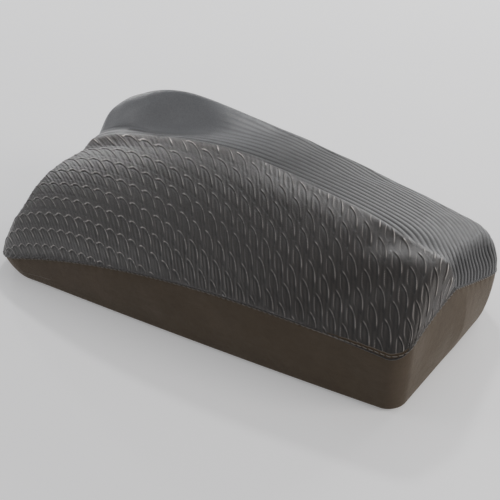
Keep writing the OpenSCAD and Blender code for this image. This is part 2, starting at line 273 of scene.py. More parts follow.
# ---------- meshes ----------

def linked(name, data):
    """New object in the scene, from a mesh, a light or a camera."""
    made = bpy.data.objects.new(name, data)
    bpy.context.scene.collection.objects.link(made)
    return made


def make_mesh(name, points, faces, material):
    """New object from points in millimetres and a list or array of faces."""
    mesh = bpy.data.meshes.new(name)
    listed = faces.tolist() if isinstance(faces, np.ndarray) else faces
    mesh.from_pydata((np.asarray(points).reshape(-1, 3) * MM).tolist(), [], listed)
    mesh.update()
    mesh.polygons.foreach_set("use_smooth", [True] * len(mesh.polygons))
    if material:
        mesh.materials.append(material)
    return linked(name, mesh)


def set_values(piece, name, values, domain="POINT"):
    """Stores numbers on a mesh, for its material to read."""
    layer = piece.data.attributes.new(name, "FLOAT", domain)
    layer.data.foreach_set("value", np.asarray(values, np.float32).ravel())


def grid_faces(rows, cols, offset=0, flip=False):
    """Quads of a grid of rows x cols points."""
    i, j = np.meshgrid(np.arange(rows - 1), np.arange(cols - 1), indexing="ij")
    a = (i * cols + j).ravel() + offset
    quads = np.stack([a, a + cols, a + cols + 1, a + 1], 1)
    return quads[:, ::-1] if flip else quads


def border(rows, cols):
    """Indices of a grid's outer points, in order round it."""
    grid = np.arange(rows * cols).reshape(rows, cols)
    return np.concatenate([grid[:-1, 0], grid[-1, :-1], grid[:0:-1, -1], grid[0, :0:-1]])


def shell(outer, rings, inner, ratio=GRID_RATIO):
    """Closed shell: a fine outer grid, rings round its border, and a coarser inner grid."""
    rows, cols = outer.shape[:2]
    in_rows, in_cols = inner.shape[:2]
    edge = border(rows, cols)
    n = len(edge)
    points = [outer.reshape(-1, 3)]
    faces = grid_faces(rows, cols).tolist()
    count = rows * cols
    last = edge
    for ring in rings:
        this = np.arange(n) + count
        points.append(ring)
        count += n
        nxt, prev = np.roll(this, -1), np.roll(last, -1)
        faces += np.stack([last, this, nxt, prev], 1).tolist()
        last = this
    inner_edge = border(in_rows, in_cols) + count
    points.append(inner.reshape(-1, 3))
    faces += grid_faces(in_rows, in_cols, count, flip=True).tolist()
    half = ratio // 2
    m = len(inner_edge)
    for k in range(n):
        owner = inner_edge[((k + half) // ratio) % m]
        faces.append([last[(k + 1) % n], last[k], owner])
    for k in range(m):
        faces.append([last[((k + 1) * ratio - half) % n], inner_edge[k], inner_edge[(k + 1) % m]])
    return np.concatenate(points), faces


def outward(loop):
    """Unit plan normals of a closed loop of points that runs anticlockwise."""
    t = np.roll(loop, -1, axis=0)[:, :2] - np.roll(loop, 1, axis=0)[:, :2]
    t = t / np.maximum(np.linalg.norm(t, axis=1, keepdims=True), 1e-9)
    return np.stack([t[:, 1], -t[:, 0], np.zeros(len(t))], 1)


def soft_noise(a, b, seed, waves=7):
    """Smooth repeatable noise from -1 to 1; a and b set its scale."""
    rng = np.random.default_rng(seed)
    total = 0
    for _ in range(waves):
        angle, size, phase = rng.uniform(0, math.tau), rng.uniform(0.6, 1.9), rng.uniform(0, math.tau)
        total = total + np.sin(size * (a * math.cos(angle) + b * math.sin(angle)) + phase)
    return total / waves * 1.6


def tube_faces(rings, sides, start):
    """Faces of a tube with closed ends, whose points run ring by ring."""
    index = start + np.arange(rings * sides).reshape(rings, sides)
    beside = np.roll(index, -1, axis=1)
    quads = np.stack([index[:-1], index[1:], beside[1:], beside[:-1]], -1)
    return quads.reshape(-1, 4).tolist() + [index[0].tolist(), index[-1, ::-1].tolist()]


def sweep(paths, radius, sides=6):
    """Points and faces of rods with closed ends along several paths, one after another."""
    angle = np.arange(sides)[:, None] * math.tau / sides
    points, faces, count = [], [], 0
    for path in paths:
        n = len(path)
        tangent = np.gradient(path, axis=0)
        tangent /= np.maximum(np.linalg.norm(tangent, axis=1, keepdims=True), 1e-9)
        up = np.where(abs(tangent[:, 2:3]) > 0.9, [[1.0, 0, 0]], [[0, 0, 1.0]])
        side = np.cross(tangent, up)
        side /= np.linalg.norm(side, axis=1, keepdims=True)
        up = np.cross(side, tangent)
        thick = radius * np.sqrt(np.clip(1.08 - np.linspace(-1, 1, n) ** 4, 0.06, 1))
        ring = np.cos(angle) * side[:, None] + np.sin(angle) * up[:, None]
        points.append((path[:, None] + thick[:, None, None] * ring).reshape(-1, 3))
        faces += tube_faces(n, sides, count)
        count += n * sides
    return np.concatenate(points), faces


def stitches(name, path, normals, material, radius, length, gap, slant=0.0):
    """A closed row of sewn stitches that dip into the cloth at both ends."""
    made = []
    both = np.concatenate([path, normals], axis=1)
    both = np.concatenate([both, both[:1]])
    lengths = lengths_along(both[:, :3])
    count = max(1, int(lengths[-1] / (length + gap)))
    pitch = lengths[-1] / count
    for i in range(count):
        at = np.linspace(i * pitch, i * pitch + pitch - gap, 7)
        p = read_along(both, lengths, at)
        lift = radius * (1.1 * np.sqrt(1 - np.linspace(-1, 1, 7) ** 4) - 0.9)
        tangent = p[-1, :3] - p[0, :3]
        aside = np.cross(tangent / max(np.linalg.norm(tangent), 1e-9), p[3, 3:])
        lean = slant * radius * np.linspace(-1, 1, 7)
        made.append(p[:, :3] + p[:, 3:] * lift[:, None] + aside * lean[:, None])
    points, faces = sweep(made, radius)
    return make_mesh(name, points, faces, material)


# ---------- the knit pattern ----------

def knit_lattice(x, w, w_crease):
    """Pattern repeats along the rows and from row to row, at x along the pad and w up from the near seam.

    The cloth is pulled over the foam, so the rows turn and spread along the pad. Past the crease they
    run straight on."""
    reach = np.maximum(w - w_crease - 6, 0) / 100
    a, b = x / 100, np.minimum(w, w_crease + 6) / 100
    p = 14.33 * a + 5.56 * b - 1.26 * a * a - 6.1 * a * b - 0.68 * b * b
    p = p + 1.25 * a * a * b + 0.68 * a * b * b
    q = -4.11 * a - 12.0 * b - 1.62 * a * a - 0.57 * a * b + 1.49 * b * b
    q = q + 0.48 * a**3 + 0.94 * a * a * b
    dp = 5.56 - 6.1 * a - 1.36 * b + 1.25 * a * a + 1.36 * a * b
    dq = -12.0 - 0.57 * a + 2.98 * b + 0.94 * a * a
    return p + dp * reach, q + dq * reach


def motif(p, q, spread):
    """Relief of the knit from -1 to 1: rows of slanting leaves, with a raised rim and a groove in each.

    Where spread is 0 a leaf shows only its cap and its high side. Where it is 1 the rim goes all round."""
    leaf_w, leaf_h, lean = mix(0.82, 0.58, spread), 0.67, 0.28
    tip_p, tip_q = 0.62, 0.28
    height = np.zeros_like(p)
    rims = np.zeros_like(p)
    for row in (-1, 0, 1):
        for col in (-1, 0, 1):
            dp = (p - tip_p) % 1 + col
            dq = (q - tip_q) % 1 + row
            t = dq / leaf_h
            s = (dp - lean * t) / leaf_w
            inner = np.clip(s, 0, 1)
            arch = t + mix(0.2 * np.clip(1 - (2 * s - 0.9) ** 2, 0, 1), 0.15 * (1 - inner**2), spread)
            foot = t - 0.15 * spread * (1 - (1 - inner) ** 2)
            low = np.maximum(1 - s, 0) ** 7 + np.maximum(foot, 0) ** 7
            high = np.maximum(s, 0) ** 4 + np.maximum(1 - arch, 0) ** 4
            low, high = low ** (1 / 7) - 1, high ** (1 / 4) - 1
            inside = smooth(-np.maximum(low, high) / 0.06)
            body = -0.35 + 0.5 * smooth(-np.maximum(low, high) / 0.4)
            groove = 0.75 * np.exp(-(((high + 0.10) / 0.07) ** 2)) * smooth((s + 0.1) / 0.5)
            height = np.where(inside > 0, inside * (body - groove), height)
            shown_low = smooth((1.25 - s) / 0.65) * smooth((t + 0.1) / 0.3)
            shown_low = shown_low * smooth((0.7 + 0.5 * spread - t) / 0.3) * mix(0.35, 0.9, spread)
            shown_high = smooth((s + 0.4 - 0.4 * spread) / 0.3) * smooth((1.0 - t) / 0.4)
            shown_high = shown_high * smooth((t + 0.5) / 0.15)
            width = mix(0.055, 0.085, smooth(t / 0.4))
            rims = np.maximum(rims, 0.8 * np.exp(-(((low - 0.03) / width) ** 2)) * shown_low)
            rims = np.maximum(rims, np.exp(-(((high - 0.03) / width) ** 2)) * shown_high)
    return height * (1 - rims) + rims


def rib_lines(x, past_crease):
    """Relief of the plain ribs that follow the crease along the top and turn down at the high end."""
    turn = 26 * smooth((x - 84) / 50) ** 2
    groove = (0.5 + 0.5 * np.cos((past_crease + turn) * math.tau / 4.1)) ** 2
    return 0.55 - 1.5 * groove


def cloth_lengths(points, columns):
    """Each grid point's place in the cloth, along the pad and up from the near seam, and the crease's."""
    up = np.zeros(points.shape[:2])
    crease = np.zeros((len(columns), 1))
    for i, place in enumerate(columns):
        s = station(place)
        y = np.linspace(near_edge(s), FAR, 900)
        x = np.full_like(y, place)
        z = rounded(x, y, np.minimum(y - near_edge(s), FAR - y))
        lengths = lengths_along(np.stack([y, z], 1))
        up[i] = np.interp(points[i, :, 1], y, lengths)
        crease[i] = np.interp(along(CREASE_Y, s), y, lengths)
    steps = np.linalg.norm(np.diff(points, axis=0), axis=-1)
    along_pad = np.repeat(columns[:, None], points.shape[1], 1)
    first = np.searchsorted(columns, -LOW_HALF + EDGE_ROUND)
    last = np.searchsorted(columns, HALF_LENGTH - EDGE_ROUND)
    along_pad[last + 1:] = columns[last] + np.cumsum(steps[last:], axis=0)
    along_pad[:first] = columns[first] - np.cumsum(steps[:first][::-1], axis=0)[::-1]
    return along_pad, up, crease


# ---------- the band's outline ----------

def corner_point(k, angle, lean):
    """Points on corner k of the straight plan, anticlockwise from the near corner of the high end."""
    sx, sy, name, start = (
        (1, -1, "high_near", -90), (1, 1, "high_far", 0), (-1, 1, "low_far", 90), (-1, -1, "low_near", 180),
    )[k % 4]
    r = CORNERS[name]
    a = np.radians(start + np.asarray(angle, float))
    cx = sx * ((HALF_LENGTH if sx > 0 else LOW_HALF) - lean - r)
    cy = sy * ((FAR if sy > 0 else NEAR) - lean - r)
    return np.stack([cx + r * np.cos(a), cy + r * np.sin(a)], -1)


def wall_plan(lean, step, at_height):
    """Plan of the wall before bowing. On the far side, columns stand at both ends of the zip."""
    found = []
    for k in range(4):
        arc = max(8, int(CORNERS[("high_near", "high_far", "low_far", "low_near")[k]] * 1.57 / step))
        found.append(corner_point(k, np.linspace(0, 90, arc + 1)[:-1], lean))
        stops = [0, 1]
        if k == 1:
            ends = [mix(corner_point(j, a, TAPER)[0], corner_point(j, a, 0)[0], at_height)
                    for j, a in ((1, 90), (2, 0))]
            zip_ends = (ZIP_START + ZIP_LENGTH, ZIP_START)
            stops = [0] + [(x - ends[0]) / (ends[1] - ends[0]) for x in zip_ends] + [1]
        start, end = corner_point(k, 90, 0), corner_point(k + 1, 0, 0)
        size = np.linalg.norm(end - start)
        for f0, f1 in zip(stops[:-1], stops[1:]):
            n = max(2, round(size * (f1 - f0) / step))
            f = np.linspace(f0, f1, n + 1)[:-1, None]
            found.append(mix(corner_point(k, 90, lean), corner_point(k + 1, 0, lean), f))
    return np.concatenate(found)


def bowed(plan):
    x, y = plan[:, 0], plan[:, 1]
    return np.stack([bowed_x(x, y), y - near_shift(x, y)], 1)


def on_wall(x, out, up):
    """Point in the zip's frame on the far wall: along the zip, out of the wall and up it."""
    wall_y = FAR - TAPER * (FAR_SEAM - ZIP_HEIGHT) / (FAR_SEAM - BASE_Z)
    c, s = math.cos(WALL_LEAN), math.sin(WALL_LEAN)
    x, out, up = np.broadcast_arrays(np.asarray(x, float), out, up)
    return np.stack([ZIP_START + x, wall_y + out * c + up * s, ZIP_HEIGHT - out * s + up * c], -1)


# ---------- cloth simulation of the cover ----------

def rough_cover(name):
    """Closed rough skin of the whole pad, a little smaller than the cover."""
    points, _ = cover_grid(step=6, end_steps=6, rows=33, depth=0.4)
    rows, cols = points.shape[:2]
    edge = points.reshape(-1, 3)[border(rows, cols)]
    foot = edge * [0.955, 0.91, 0] + [0, 0, BASE_Z]
    rings = [mix(edge, foot, t) for t in (0.25, 0.5, 0.75, 1.0)]
    floor = points * [0.955, 0.91, 0] + [0, 0, BASE_Z]
    mesh_points, faces = shell(points, rings, floor, ratio=1)
    return make_mesh(name, mesh_points, faces, None)


def simulate_cover(voxel=5.0, frames=20, pressure=4.0, cap=1.7):
    """Swells the cover between its seams. Returns the rough skin's points and how far each one moved."""
    skin = rough_cover("cover_simulation")
    remesh = skin.modifiers.new("voxels", "REMESH")
    remesh.mode = "VOXEL"
    remesh.voxel_size = voxel * MM
    depsgraph = bpy.context.evaluated_depsgraph_get()
    mesh = bpy.data.meshes.new_from_object(skin.evaluated_get(depsgraph))
    skin.modifiers.clear()
    skin.data = mesh
    start = np.array([v.co for v in mesh.vertices]) / MM
    held = skin.vertex_groups.new(name="held")
    seam_gap = abs(start[:, 2] - seam_z(start[:, 0], start[:, 1]))
    by_seam = (seam_gap < 3.5) & (inward(start[:, 0], start[:, 1]) < 4)
    by_floor = start[:, 2] < 4
    held.add([int(i) for i in np.nonzero(by_seam | by_floor)[0]], 1.0, "REPLACE")
    cloth = skin.modifiers.new("cloth", "CLOTH")
    cloth.settings.quality = 6
    cloth.settings.use_pressure = True
    cloth.settings.uniform_pressure_force = pressure
    cloth.settings.shrink_min = -0.035
    cloth.settings.tension_stiffness = 12
    cloth.settings.compression_stiffness = 12
    cloth.settings.bending_stiffness = 0.2
    cloth.settings.effector_weights.gravity = 0
    cloth.settings.vertex_group_mass = "held"
    cloth.collision_settings.use_collision = False
    for number in range(1, frames + 1):
        bpy.context.scene.frame_set(number)
    depsgraph = bpy.context.evaluated_depsgraph_get()
    swollen = skin.evaluated_get(depsgraph).to_mesh()
    moved = np.array([v.co for v in swollen.vertices]) / MM - start
    bpy.data.objects.remove(skin)
    bpy.context.scene.frame_set(1)
    size = np.linalg.norm(moved, axis=1, keepdims=True)
    return start, moved * cap / (cap + size)


class Swelling:
    """The simulated movement, read at any points."""

    def __init__(self):
        self.tree = None
        start, self.moved = simulate_cover()
        self.tree = KDTree(len(start))
        for i, point in enumerate(start):
            self.tree.insert(point, i)
        self.tree.balance()

    def at(self, points):
        if self.tree is None:
            return np.zeros(points.shape)
        flat = points.reshape(-1, 3)
        found = np.zeros(flat.shape)
        for i, point in enumerate(flat):
            near = self.tree.find_n(point, 10)
            weight = np.array([math.exp(-((d / 5.5) ** 2)) for _, _, d in near]) + 1e-9
            found[i] = weight @ self.moved[[k for _, k, _ in near]] / weight.sum()
        return found.reshape(points.shape)

    def over_grid(self, points, ratio=GRID_RATIO):
        """Read on a coarse grid, then spread smoothly over the fine one."""
        coarse = self.at(points[::ratio, ::ratio])
        rows, cols = points.shape[:2]
        for axis, count in ((0, rows), (1, cols)):
            places = np.minimum(np.arange(count) / ratio, coarse.shape[axis] - 1)
            low = np.minimum(places.astype(int), coarse.shape[axis] - 2)
            share = smooth(places - low).reshape([-1 if a == axis else 1 for a in range(3)])
            coarse = mix(np.take(coarse, low, axis), np.take(coarse, low + 1, axis), share)
            coarse = blurred(coarse, ratio, axis)
        return coarse


def blurred(values, width, axis):
    """Moving average along one axis, twice, with the ends held."""
    for _ in range(2):
        pad = [(width, width) if a == axis else (0, 0) for a in range(values.ndim)]
        total = np.cumsum(np.pad(values, pad, mode="edge"), axis=axis)
        high = np.take(total, np.arange(2 * width, total.shape[axis]), axis)
        low = np.take(total, np.arange(0, total.shape[axis] - 2 * width), axis)
        values = (high - low) / (2 * width)
    return values


# ---------- materials ----------

class Paint:
    """One node material, built a node at a time. Colours are linear."""

    def __init__(self, name, colour, roughness, specular, sheen=0.0, sheen_tint=(1, 1, 1), metallic=0.0):
        self.material = bpy.data.materials.new(name)
        self.material.use_nodes = True
        self.tree = self.material.node_tree
        self.shader = self.tree.nodes["Principled BSDF"]
        self.colour = (*colour, 1)
        values = {
            "Base Color": self.colour, "Roughness": roughness, "Metallic": metallic,
            "Specular IOR Level": specular, "Sheen Weight": sheen, "Sheen Roughness": 0.35,
            "Sheen Tint": (*sheen_tint, 1),
        }
        for socket, value in values.items():
            self.shader.inputs[socket].default_value = value
        self.place = self.node("ShaderNodeTexCoord").outputs["Object"]

    def feed(self, socket, value):
        """Links a socket, or sets its value."""
        if isinstance(value, bpy.types.NodeSocket):
            self.tree.links.new(value, socket)
        else:
            socket.default_value = value

    def node(self, kind, feeds=None, **settings):
        """New node with its settings, and with what its inputs are fed."""
        made = self.tree.nodes.new(kind)
        for name, value in settings.items():
            setattr(made, name, value)
        for name, value in (feeds or {}).items():
            self.feed(made.inputs[name], value)
        return made

    def value(self, name):
        """A value stored on the mesh."""
        return self.node("ShaderNodeAttribute", attribute_name=name).outputs["Fac"]

    def math(self, operation, a, b=0.0):
        return self.node("ShaderNodeMath", {0: a, 1: b}, operation=operation).outputs[0]

    def times(self, a, b):
        return self.math("MULTIPLY", a, b)

    def plus(self, a, b):
        return self.math("ADD", a, b)

    def noise(self, size, detail=3.0, rough=0.55, stretch=(1, 1, 1)):
        """Noise from 0 to 1 with features of a size, in millimetres."""
        place = self.node("ShaderNodeMapping", {"Vector": self.place, "Scale": stretch}).outputs[0]
        feeds = {"Vector": place, "Scale": 1 / (size * MM), "Detail": detail, "Roughness": rough}
        return self.node("ShaderNodeTexNoise", feeds).outputs["Fac"]

    def cells(self, size):
        """Cells of a size in millimetres: 0 in the middle of each, and more towards its edge."""
        feeds = {"Vector": self.place, "Scale": 1 / (size * MM)}
        return self.node("ShaderNodeTexVoronoi", feeds).outputs["Distance"]

    def wave(self, value, repeats, phase=0.0):
        """Sine of a value, from 0 to 1, with a number of repeats for each unit."""
        turned = self.plus(self.times(value, repeats * math.tau), phase)
        return self.plus(self.times(self.math("SINE", turned), 0.5), 0.5)

    def axis(self, name):
        """Place along an axis, in millimetres."""
        split = self.node("ShaderNodeSeparateXYZ", {0: self.place})
        return self.times(split.outputs[name], 1 / MM)

    def ramp(self, factor, stops):
        """Colour by factor; stops are (place, (r, g, b))."""
        made = self.node("ShaderNodeValToRGB", {0: factor})
        elements = made.color_ramp.elements
        while len(elements) < len(stops):
            elements.new(0.5)
        for element, (at, colour) in zip(elements, stops):
            element.position = at
            element.color = (*colour, 1)
        return made.outputs["Color"]

    def blend(self, factor, first, second, way="MIX"):
        feeds = {"Factor": factor, 6: first, 7: second}
        return self.node("ShaderNodeMix", feeds, data_type="RGBA", blend_type=way).outputs[2]

    def ranged(self, factor, low, high):
        """From low to high as factor goes from 0 to 1."""
        feeds = {"Value": factor, "To Min": low, "To Max": high}
        return self.node("ShaderNodeMapRange", feeds).outputs["Result"]

    def tint(self, factor, low, high):
        """Multiplies the colour by low to high as factor goes from 0 to 1."""
        self.colour = self.blend(1.0, self.colour, self.ranged(factor, low, high), "MULTIPLY")
        self.feed(self.shader.inputs["Base Color"], self.colour)

    def roughness(self, factor, low, high):
        self.feed(self.shader.inputs["Roughness"], self.ranged(factor, low, high))

    def bump(self, *layers):
        """Bump from (height from 0 to 1, depth in millimetres) layers."""
        normal = None
        for height, depth in layers:
            feeds = {"Distance": depth * MM, "Strength": 1.0, "Height": height}
            if normal:
                feeds["Normal"] = normal
            normal = self.node("ShaderNodeBump", feeds).outputs["Normal"]
        self.feed(self.shader.inputs["Normal"], normal)


def woven(paint, across, along, pitch):
    """Plain weave height from two lengths in millimetres."""
    repeats = 1 / (2 * pitch)
    over = paint.times(paint.wave(across, repeats), paint.wave(along, repeats))
    under = paint.times(paint.wave(across, repeats, math.pi), paint.wave(along, repeats, math.pi))
    return paint.math("MAXIMUM", over, under)


def knit_cloth():
    dark = (0.03, 0.03, 0.03)
    paint = Paint("knit_cloth", dark, 0.35, specular=0.7, sheen=0.02, sheen_tint=(1, 0.96, 0.93))
    relief = paint.plus(paint.times(paint.value("relief"), 0.5), 0.5)
    p, q, ridge = paint.value("knit_p"), paint.value("knit_q"), paint.value("ridge")
    wale = paint.math("SUBTRACT", p, paint.times(q, 0.42))
    streaks = paint.wave(paint.plus(wale, paint.times(paint.noise(3, 2), 0.05)), 3)
    # Colour follows the relief: partly the yarn's own tone, partly painted shade, with the grooves painted
    # nearly black, and painted highlight on the raised rims
    paint.colour = paint.ramp(relief, [
        (0.0, (0.002, 0.0016, 0.0013)), (0.3, (0.012, 0.0098, 0.0086)), (0.58, (0.021, 0.0175, 0.0153)),
        (0.70, (0.039, 0.0345, 0.0315)), (0.88, (0.20, 0.183, 0.172)),
    ])
    paint.tint(streaks, 0.7, 1.25)
    # Painted highlight: the raised rims along the crest are painted up to three times lighter
    paint.tint(paint.times(ridge, paint.math("GREATER_THAN", relief, 0.72)), 1, 3)
    # The ribs are painted dark in their grooves, a painted shade, and lighter on their crowns
    ribs = paint.ramp(relief, [
        (0.1, (0.002, 0.0021, 0.0022)), (0.5, (0.014, 0.0143, 0.015)), (0.75, (0.036, 0.0365, 0.038)),
    ])
    paint.colour = paint.blend(paint.value("plain"), paint.colour, ribs)
    # Painted light: the far lobe's low end is painted up to eight times lighter
    paint.tint(paint.value("painted_lobe_light"), 1, 8)
    paint.tint(paint.noise(38, 2), 0.86, 1.14)
    paint.tint(paint.noise(0.9, 3), 0.66, 1.34)
    paint.roughness(paint.noise(5, 3), 0.28, 0.48)
    ribbed = paint.times(paint.value("plain"), paint.value("calm"))
    shine = paint.plus(paint.times(ribbed, -0.35), 0.55)
    paint.feed(paint.shader.inputs["Specular IOR Level"], shine)
    on_leaves = paint.math("SUBTRACT", 1, paint.value("plain"))
    yarn = paint.times(paint.wave(p, 15), paint.wave(q, 17))
    paint.bump((paint.times(streaks, on_leaves), 0.08), (yarn, 0.05), (paint.noise(0.45, 2), 0.10))
    return paint.material


def band_cloth():
    brown = (0.054, 0.0405, 0.0275)
    paint = Paint("band_cloth", brown, 0.8, specular=0.2, sheen=0.2, sheen_tint=(1, 0.9, 0.78))
    paint.tint(paint.noise(30, 3), 0.82, 1.18)
    paint.tint(paint.noise(4.5, 4, 0.65, (1, 1, 1.8)), 0.84, 1.16)
    paint.tint(paint.noise(0.7, 2), 0.88, 1.12)
    paint.roughness(paint.noise(9, 3), 0.7, 0.92)
    along_wall, up_wall = paint.value("wall_along"), paint.value("wall_up")
    twill = paint.wave(paint.plus(along_wall, paint.times(up_wall, 1.4)), 1 / 0.8)
    paint.bump((twill, 0.035), (paint.noise(0.5, 2), 0.07), (paint.noise(3.5, 4), 0.16))
    return paint.material


def base_cloth():
    paint = Paint("base_cloth", (0.028, 0.026, 0.025), 0.85, sheen=0.15, specular=0.2)
    weave = woven(paint, paint.axis("X"), paint.axis("Y"), 0.7)
    paint.tint(weave, 0.65, 1.35)
    paint.tint(paint.noise(22, 3), 0.85, 1.15)
    paint.roughness(paint.noise(5, 3), 0.76, 0.95)
    paint.bump((weave, 0.16), (paint.noise(0.4, 2), 0.06))
    return paint.material


def thread(name, colour):
    paint = Paint(name, colour, 0.6, sheen=0.2, specular=0.35)
    twist = paint.wave(paint.plus(paint.axis("X"), paint.plus(paint.axis("Y"), paint.axis("Z"))), 2.2)
    paint.tint(twist, 0.75, 1.2)
    paint.tint(paint.noise(6, 2), 0.85, 1.15)
    paint.bump((twist, 0.05))
    return paint.material


def grip_rubber():
    paint = Paint("grip_rubber", (0.012, 0.012, 0.012), 0.55, specular=0.4)
    paint.tint(paint.noise(2.5, 4), 0.7, 1.5)
    paint.roughness(paint.noise(1.2, 3), 0.42, 0.72)
    paint.bump((paint.noise(0.35, 3), 0.03))
    return paint.material


def lacquered_metal():
    paint = Paint("zip_metal", (0.11, 0.11, 0.118), 0.34, metallic=0.85, specular=0.5)
    paint.tint(paint.noise(1.4, 4), 0.8, 1.25)
    paint.roughness(paint.noise(0.9, 4, 0.6, (0.2, 1, 1)), 0.24, 0.46)
    paint.bump((paint.noise(0.3, 2), 0.012))
    return paint.material


def moulded_plastic():
    paint = Paint("tooth_plastic", (0.022, 0.022, 0.024), 0.38, specular=0.45)
    paint.tint(paint.noise(1.5, 3), 0.8, 1.3)
    paint.roughness(paint.noise(0.8, 3), 0.3, 0.5)
    paint.bump((paint.noise(0.25, 2), 0.012))
    return paint.material


def ribbed_webbing(name, colour, along_axis, across_axis, pitch):
    paint = Paint(name, colour, 0.72, sheen=0.18, specular=0.25)
    ribs = paint.wave(paint.axis(across_axis), 1 / pitch)
    picks = paint.wave(paint.axis(along_axis), 1 / (pitch * 0.55))
    paint.tint(paint.times(ribs, picks), 0.7, 1.35)
    paint.tint(paint.noise(8, 3), 0.85, 1.15)
    paint.roughness(paint.noise(2, 3), 0.62, 0.84)
    paint.bump((picks, 0.06), (ribs, 0.05), (paint.noise(0.3, 2), 0.03))
    return paint.material


def hook_tape():
    paint = Paint("hook_tape", (0.018, 0.018, 0.019), 0.45, specular=0.4)
    paint.tint(paint.value("relief"), 0.6, 1.7)
    paint.roughness(paint.noise(0.5, 2), 0.36, 0.58)
    paint.bump((paint.noise(0.2, 2), 0.03))
    return paint.material


def loop_tape():
    paint = Paint("loop_tape", (0.022, 0.022, 0.023), 0.9, sheen=0.4, specular=0.15)
    paint.tint(paint.noise(0.8, 5, 0.7), 0.6, 1.6)
    paint.roughness(paint.noise(1.1, 3), 0.82, 0.98)
    paint.bump((paint.cells(0.45), 0.12), (paint.noise(0.4, 4, 0.7), 0.12))
    return paint.material


def foam():
    paint = Paint("foam", (0.66, 0.58, 0.42), 0.95, sheen=0.1, specular=0.15)
    paint.tint(paint.noise(25, 3), 0.92, 1.06)
    paint.tint(paint.cells(0.9), 0.7, 1.1)
    paint.roughness(paint.noise(3, 3), 0.9, 1.0)
    paint.bump((paint.cells(0.9), 0.25), (paint.noise(0.5, 3), 0.08))
    return paint.material


def liner_cloth():
    paint = Paint("liner_cloth", (0.62, 0.62, 0.6), 0.85, sheen=0.2, specular=0.2)
    net = woven(paint, paint.axis("X"), paint.axis("Y"), 0.5)
    paint.tint(net, 0.8, 1.1)
    paint.tint(paint.noise(18, 3), 0.93, 1.05)
    paint.roughness(paint.noise(4, 3), 0.78, 0.95)
    paint.bump((net, 0.06), (paint.noise(0.6, 3), 0.04))
    return paint.material


def pale_floor():
    paint = Paint("pale_floor", (0.86, 0.86, 0.87), 0.75, specular=0.2)
    paint.tint(paint.noise(160, 2), 0.985, 1.015)
    paint.shader.inputs["Emission Color"].default_value = (1, 1, 1, 1)
    paint.shader.inputs["Emission Strength"].default_value = 0.22
    paint.bump((paint.noise(2, 3), 0.02))
    return paint.material


# ---------- soft pieces ----------

def edge_distance(points):
    """Distance over the cloth from each grid point to the nearest edge of the grid."""
    found = []
    for axis in (0, 1):
        steps = np.linalg.norm(np.diff(points, axis=axis), axis=-1)
        total = np.insert(np.cumsum(steps, axis=axis), 0, 0, axis=axis)
        found.append(np.minimum(total, np.take(total, [-1], axis) - total))
    return np.minimum(*found)


# The far lobe's cloth stands prouder than the CAD's at its low end, as in the photo
LOBE_REACH = 5.8
LOBE_X, LOBE_Y = -100.0, 40.0

LEAF_RISE = 0.27
RIDGE_RISE = 0.4
FOLD_RISE = 0.25
GATHER_RISE = 0.3
GATHER_PITCH = 5.2


def full_lobe(base, from_edge, past_crease):
    """Moves the far lobe's low end outward, fading out before the seam and the crease."""
    dx, dy = base[..., 0] - LOBE_X, base[..., 1] - LOBE_Y
    lobe = np.exp(-((dx / 22) ** 2) - (dy / 24) ** 2) * smooth(from_edge / 25) * smooth(past_crease / 26)
    return base + grid_normals(base) * (LOBE_REACH * lobe)[..., None]


def knit_values(along_pad, up, crease, from_edge):
    """The knit at each grid point: relief, place in the pattern, how plain, calm or ridged, and how much
    painted light lifts its colour on the far lobe.
    """
    p, q = knit_lattice(along_pad, up, crease)
    past_crease = up - crease
    # The ridge, where leaves give way to ribs, lies 9 mm past the crease and comes to 2 mm at the high end
    past_ridge = past_crease - 9 + 7 * smooth((along_pad + 10) / 70)
    plain = smooth((past_ridge + 1) / 4)
    # The ribs fade out toward the far lobe's low end
    calm = 1 - smooth((30 - along_pad) / 75) * smooth(past_crease / 26)
    leaves = motif(p, q, smooth((along_pad + 70) / 110))
    relief = mix(leaves, rib_lines(along_pad, past_crease), plain) * calm * smooth(from_edge / 0.9)
    # The ridge raises the cloth, and also marks where the rims carry a painted highlight
    ridge = np.exp(-((past_ridge / 3) ** 2)) * smooth(from_edge / 8)
    # Painted light: the far lobe's low end is painted lighter where its face lies in shade, and less on its
    # far flank, where the back light falls
    painted_lobe_light = (1 - calm) * (1 - 0.75 * smooth((past_crease - 52) / 22))
    return {
        "relief": relief, "knit_p": p, "knit_q": q,
        "plain": plain, "calm": calm, "painted_lobe_light": painted_lobe_light, "ridge": ridge,
    }


def knit_folds(along_pad, up, from_edge):
    """Height of the loose folds, and of the gathers along the seam at the low end."""
    fold = FOLD_RISE * soft_noise(along_pad / 16, up / 11, 5) * smooth(from_edge / 12)
    turn = along_pad * math.tau / GATHER_PITCH + 3 * soft_noise(along_pad / 14, up / 30, 11)
    by_seam = np.exp(-((from_edge / 3) ** 2)) * smooth((-30 - along_pad) / 50)
    return fold + GATHER_RISE * np.sin(turn) * by_seam


